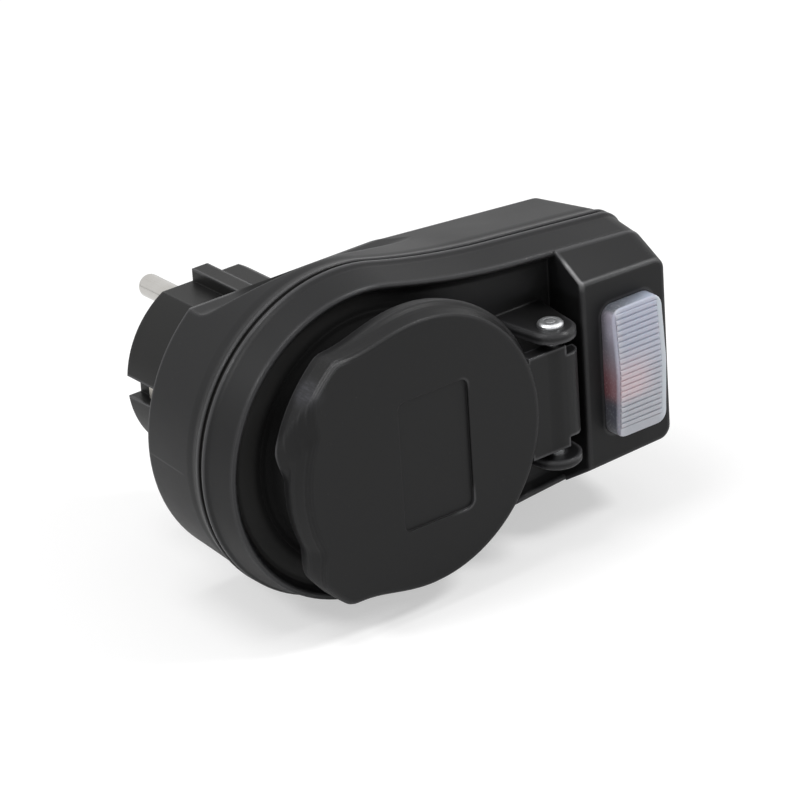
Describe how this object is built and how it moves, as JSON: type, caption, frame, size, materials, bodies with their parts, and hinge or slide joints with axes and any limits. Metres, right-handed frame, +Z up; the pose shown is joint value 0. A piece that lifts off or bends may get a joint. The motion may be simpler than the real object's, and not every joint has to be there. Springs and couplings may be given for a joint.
{
  "type": "switched adapter plug",
  "caption": "Splash-proof through-adapter for earthed round-pin plugs, with a spring-closed hinged lid over its socket and a lit rocker switch under a ribbed silicone boot.",
  "frame": {"origin": "on the plug's axis, in the plane of the housing's back face", "axes": "+X along the body from the plug's axis towards the switch; +Y out of the plug's pins, into the wall; -Y out through the lid; +Z up as the adapter lies on its long edge"},
  "size_m": [0.1035, 0.0861, 0.0668],
  "materials": {
    "black_plastic": "fine satin moulding",
    "black_rubber": "matt",
    "pin_metal": "bright nickel plate",
    "earth_metal": "nickel-plated strip",
    "contact_brass": "stamped",
    "steel": "zinc plate",
    "spring_steel": "drawn wire",
    "silicone": "milky translucent",
    "red_plastic": "translucent red",
    "lamp_glass": "clear",
    "brown_lead": "insulated lead",
    "blue_lead": "insulated lead"
  },
  "bodies": {
    "housing": {"rear_shell": "black_plastic", "front_shell": "black_plastic", "shell_gasket": "black_rubber", "plug_insert": "black_plastic", "live_pin": "pin_metal", "neutral_pin": "pin_metal", "live_lug": "contact_brass", "live_contact": "contact_brass", "neutral_contact": "contact_brass", "contact_carrier": "black_plastic", "socket_insert": "black_plastic", "earth_clip_left": "earth_metal", "earth_clip_right": "earth_metal", "earth_link": "earth_metal", "centre_screw": "steel", "housing_screws": "steel", "hinge_rivet": "steel", "lid_spring": "spring_steel", "switch_boot": "silicone", "switch_body": "black_plastic", "switch_terminals": "contact_brass", "neon_lamp": "lamp_glass", "live_wire_in": "brown_lead", "live_wire_out": "brown_lead", "lamp_wire": "blue_lead"},
    "lid": {"lid": "black_plastic", "lid_seal": "black_rubber"},
    "rocker": {"rocker": "red_plastic", "rocker_plunger": "contact_brass"},
    "lever": {"contact_lever": "contact_brass"}
  },
  "joints": [
    {"name": "lid_hinge", "type": "hinge", "parent": "housing", "child": "lid", "pos_m": [0.0373, -0.0366, 0], "axis": [0, 0, 1], "range_deg": [0, 140], "stiffness_Nm_per_rad": 0.008, "springref_deg": -91.67, "deforming": ["lid_spring"]},
    {"name": "rocker_tilt", "type": "hinge", "parent": "housing", "child": "rocker", "pos_m": [0.0567, -0.031, 0], "axis": [-1, 0, 0], "range_deg": [0, 8], "deforming": ["switch_boot"]},
    {"name": "contact_tilt", "type": "hinge", "parent": "housing", "child": "lever", "pos_m": [0.0567, -0.0216, 0], "axis": [1, 0, 0], "range_deg": [0, 12]}
  ],
  "couplings": [
    {"joint": "contact_tilt", "follows": "rocker_tilt", "ratio": 1.5}
  ]
}
